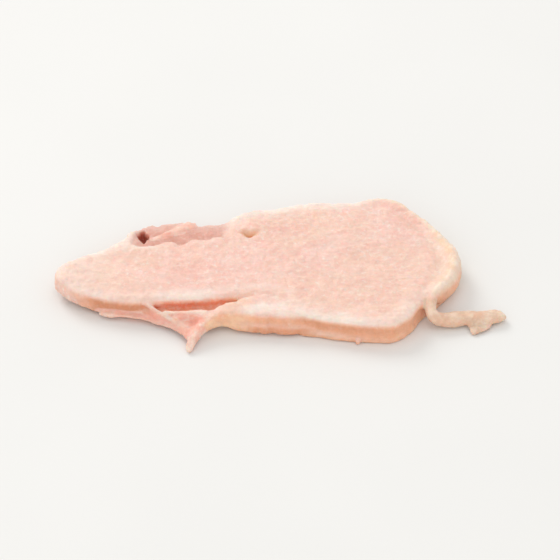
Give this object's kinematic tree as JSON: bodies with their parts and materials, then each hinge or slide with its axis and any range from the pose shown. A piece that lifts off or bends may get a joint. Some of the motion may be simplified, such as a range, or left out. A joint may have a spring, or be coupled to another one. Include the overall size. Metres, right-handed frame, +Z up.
{
  "type": "sliced chicken thigh",
  "caption": "Flat slice of raw, lightly frosted chicken thigh with a cleft and free strip on its front edge, a pale rim round one end and a trailing membrane strand.",
  "frame": {"origin": "bottom centre of the slice's box, on the table it lies on", "axes": "+X along the slice towards the rimmed end, +Y away from the cleft side, +Z up out of the cut face"},
  "size_m": [0.0706, 0.0342, 0.0045],
  "materials": {
    "raw_meat": "matte, pale pink raw meat with fine frost, cream fat at the rim"
  },
  "bodies": {
    "root": {"thigh_slice": "raw_meat"}
  },
  "joints": []
}
